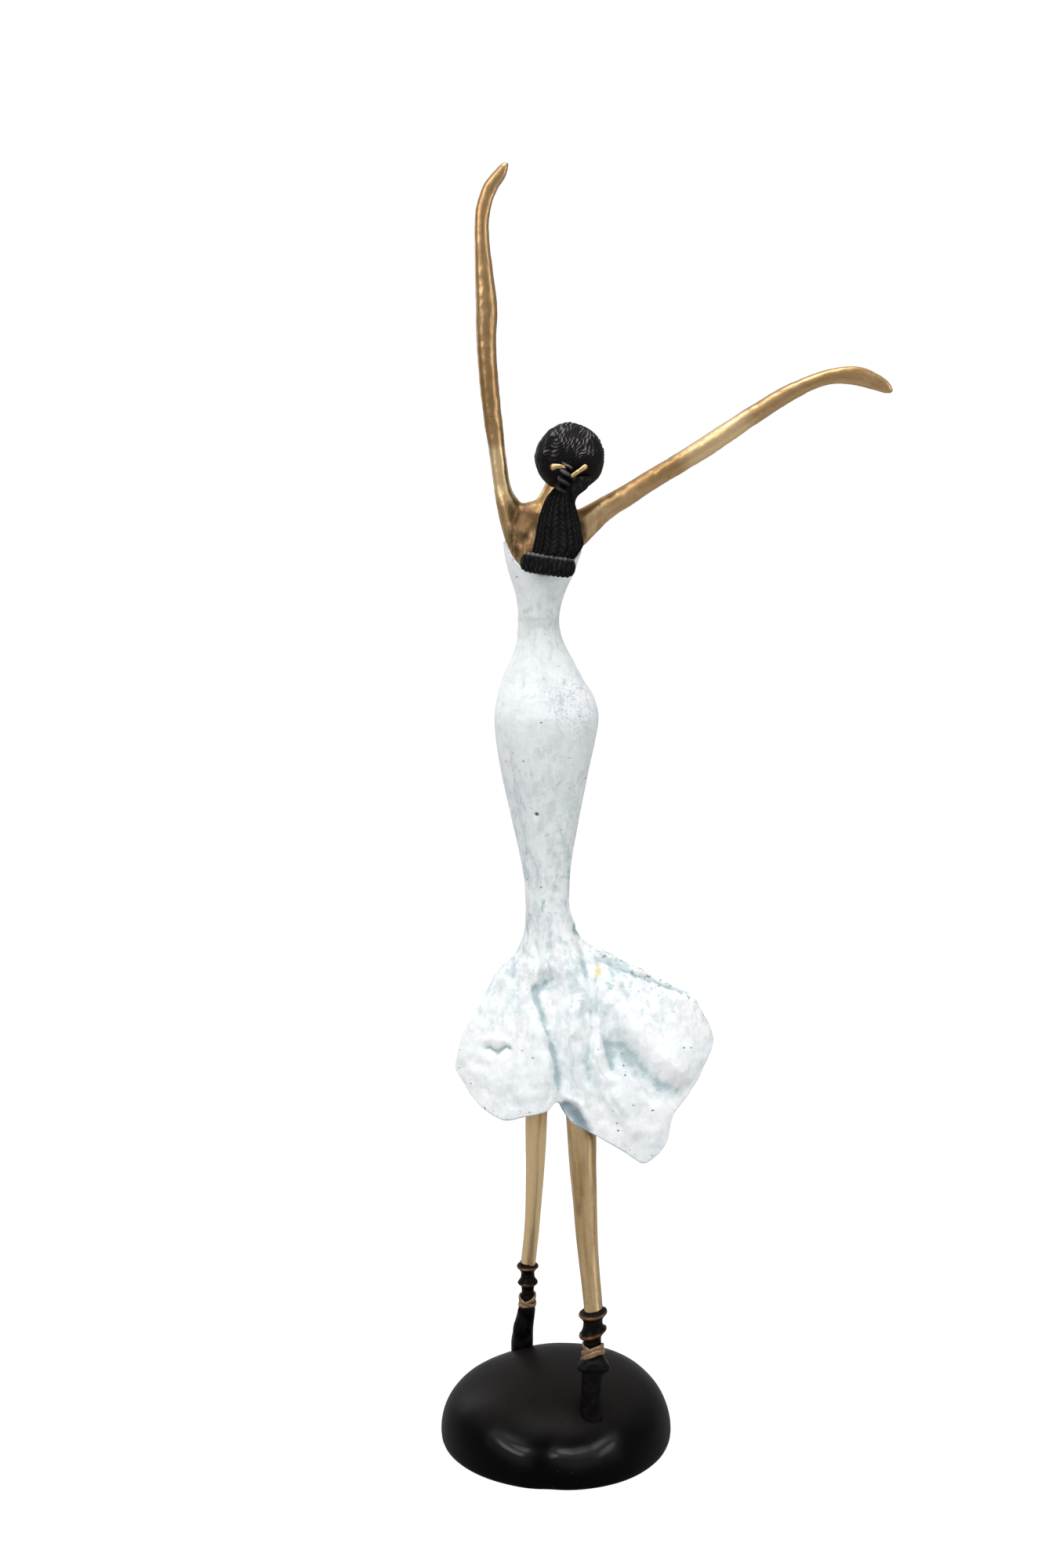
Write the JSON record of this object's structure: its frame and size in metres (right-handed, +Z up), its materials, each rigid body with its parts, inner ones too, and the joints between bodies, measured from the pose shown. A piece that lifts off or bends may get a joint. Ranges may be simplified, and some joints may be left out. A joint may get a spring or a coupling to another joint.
{
  "type": "figurine",
  "caption": "Slender cast bronze dancer in a white flared dress, arms spread, standing on tiptoe on a dark domed base.",
  "frame": {"origin": "centre of the base's flat underside, on the surface that the statuette stands on", "axes": "+Z up; the dancer's back faces -Y and the face looks along +Y; the outstretched arm points along +X"},
  "size_m": [0.1713, 0.094, 0.5],
  "materials": {
    "base_patina": "polished cast bronze under a near-black waxed patina",
    "shoe_patina": "cast bronze, black patina rubbed brown on raised edges",
    "bronze_skin": "burnished golden bronze with casting pits",
    "white_patina": "cast bronze under a chalky off-white patina with grey-green washes",
    "hair_patina": "wax-thread textured bronze, brown-black patina worn on the high threads",
    "strap_bronze": "dark bronze with rubbed golden edges",
    "tie_bronze": "bright bare bronze rod",
    "fastener_steel": "plain steel hardware, dull"
  },
  "bodies": {
    "root": {"base_dome": "base_patina", "foot_studs": "fastener_steel", "foot_washers": "fastener_steel", "foot_nuts": "fastener_steel", "shoe_left": "shoe_patina", "shoe_right": "shoe_patina", "shoe_strap_left": "strap_bronze", "shoe_strap_right": "strap_bronze", "ankle_cuff_left": "shoe_patina", "ankle_cuff_right": "shoe_patina", "leg_left": "bronze_skin", "leg_right": "bronze_skin", "skirt": "white_patina", "dress": "white_patina", "torso": "bronze_skin", "arm_left": "bronze_skin", "arm_right": "bronze_skin", "joint_pins": "fastener_steel", "head": "bronze_skin", "hair_cap": "hair_patina", "hair_twist": "hair_patina", "hair_tie_left": "tie_bronze", "hair_tie_right": "tie_bronze", "ponytail": "hair_patina", "ponytail_end": "hair_patina"}
  },
  "joints": []
}
